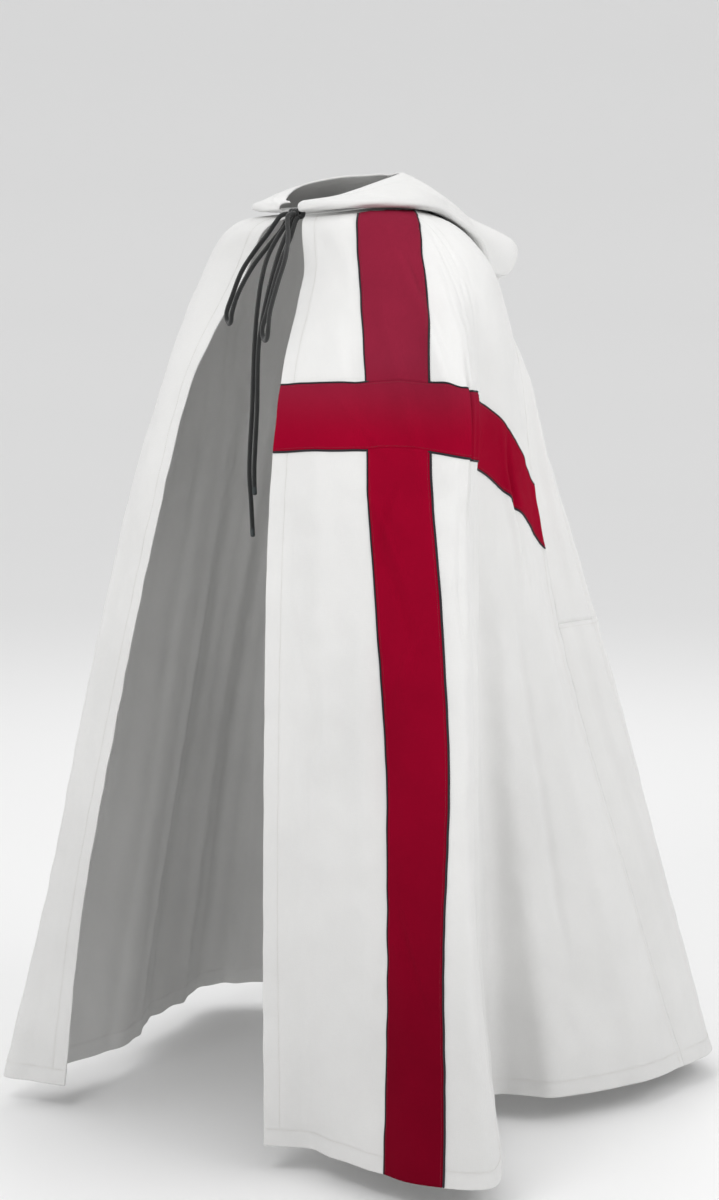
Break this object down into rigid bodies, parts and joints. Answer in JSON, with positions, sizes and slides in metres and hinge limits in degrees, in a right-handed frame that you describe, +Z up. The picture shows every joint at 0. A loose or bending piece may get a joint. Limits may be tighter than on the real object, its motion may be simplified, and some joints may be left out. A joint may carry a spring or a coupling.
{
  "type": "hooded cape",
  "caption": "Long open-fronted hooded cape in worn form: two fronts, pieced back, plain cross on the left front, hood lying down, cord tied at the throat.",
  "frame": {"origin": "middle of the neck opening at the height of the neckline's sides, where the wearer's neck carries the cape", "axes": "+Z up along the neck, the front opening looks along -Y, +X is the wearer's left, the side with the cross"},
  "size_m": [1.061, 1.0281, 1.3723],
  "materials": {
    "cotton": "matt heavy plain-weave cotton",
    "hood_cotton": "matt heavy plain-weave cotton",
    "red_cotton": "matt cotton applique",
    "edging": "narrow dark woven edging",
    "cord_braid": "braided cotton cord"
  },
  "bodies": {
    "root": {"front_right": "cotton", "back_upper": "cotton", "back_lower": "cotton", "front_left": "cotton", "hood_right": "hood_cotton", "hood_left": "hood_cotton", "cross_upright_upper": "red_cotton", "cross_upright_lower": "red_cotton", "cross_bar": "red_cotton", "edging_upper_back": "edging", "edging_upper_front": "edging", "edging_bar_top_back": "edging", "edging_bar_top_front": "edging", "edging_bar_low_back": "edging", "edging_bar_low_front": "edging", "edging_lower_back": "edging", "edging_lower_front": "edging", "tie_knot": "cord_braid", "tie_loop_right": "cord_braid", "tie_loop_left": "cord_braid", "tie_end_right": "cord_braid", "tie_end_left": "cord_braid"}
  },
  "joints": []
}
